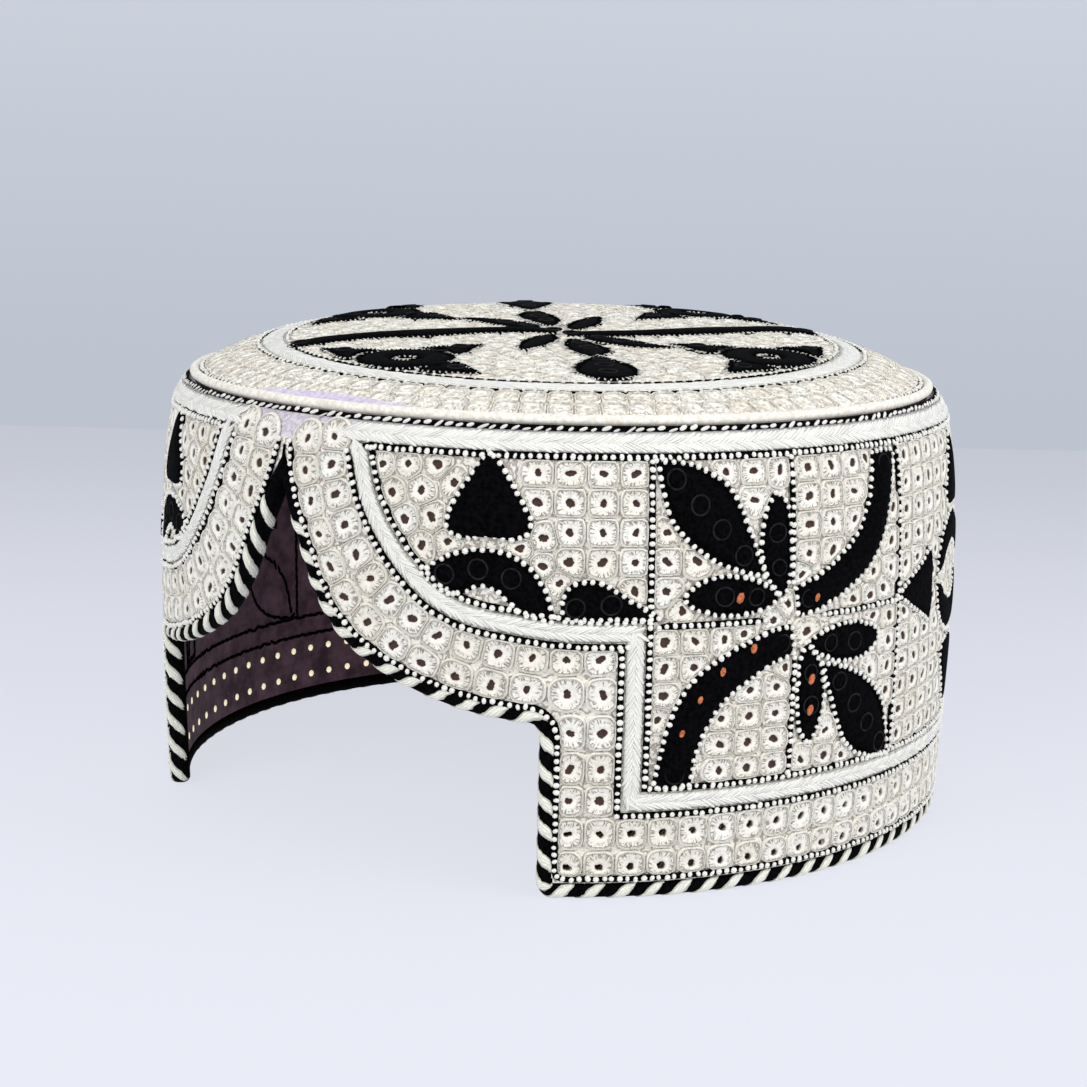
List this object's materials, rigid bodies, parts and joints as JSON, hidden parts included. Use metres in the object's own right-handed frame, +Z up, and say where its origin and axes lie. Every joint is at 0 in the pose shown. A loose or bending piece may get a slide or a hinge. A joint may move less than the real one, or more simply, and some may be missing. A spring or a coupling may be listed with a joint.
{
  "type": "sindhi cap",
  "caption": "Stiff round embroidered cap with an arched front notch, pierced eyelet rows, black leaf motifs, white braid and a striped rim binding.",
  "frame": {"origin": "on the surface the cap stands on, below the middle of its rim", "axes": "+Z up through the crown, -Y towards the front opening, +X to the wearer's left"},
  "size_m": [0.1848, 0.1831, 0.1082],
  "materials": {
    "cream_thread": "matte needle lace over pale cotton",
    "white_braid": "soft satin thread",
    "black_thread": "matte",
    "striped_binding": "matte, black and ivory stripes",
    "purple_lining": "matte cotton"
  },
  "bodies": {
    "root": {"crescent_left": "black_thread", "crescent_right": "black_thread", "crown": "cream_thread", "crown_braid": "white_braid", "crown_drop_back": "black_thread", "crown_drop_front": "black_thread", "crown_flower": "black_thread", "crown_lining": "purple_lining", "crown_piping": "cream_thread", "crown_ring_1": "black_thread", "crown_ring_2": "black_thread", "crown_ring_3": "black_thread", "crown_ring_4": "black_thread", "crown_wedge_1_inner": "black_thread", "crown_wedge_1_left": "black_thread", "crown_wedge_1_right": "black_thread", "crown_wedge_2_inner": "black_thread", "crown_wedge_2_left": "black_thread", "crown_wedge_2_right": "black_thread", "crown_wedge_3_inner": "black_thread", "crown_wedge_3_left": "black_thread", "crown_wedge_3_right": "black_thread", "crown_wedge_4_inner": "black_thread", "crown_wedge_4_left": "black_thread", "crown_wedge_4_right": "black_thread", "drop_left": "black_thread", "drop_right": "black_thread", "flower_back_left": "black_thread", "flower_back_right": "black_thread", "flower_front_left": "black_thread", "flower_front_right": "black_thread", "heart_left": "black_thread", "heart_right": "black_thread", "motif_crescent_low_left": "black_thread", "motif_crescent_low_right": "black_thread", "motif_crescent_top_left": "black_thread", "motif_crescent_top_right": "black_thread", "motif_drop_back_left": "black_thread", "motif_drop_back_right": "black_thread", "motif_drop_front_left": "black_thread", "motif_drop_front_right": "black_thread", "motif_heart_low_left": "black_thread", "motif_heart_low_right": "black_thread", "motif_heart_top_left": "black_thread", "motif_heart_top_right": "black_thread", "panel_braid": "white_braid", "rim_binding": "striped_binding", "side_lining": "purple_lining", "side_wall": "cream_thread", "top_braid": "white_braid"}
  },
  "joints": []
}
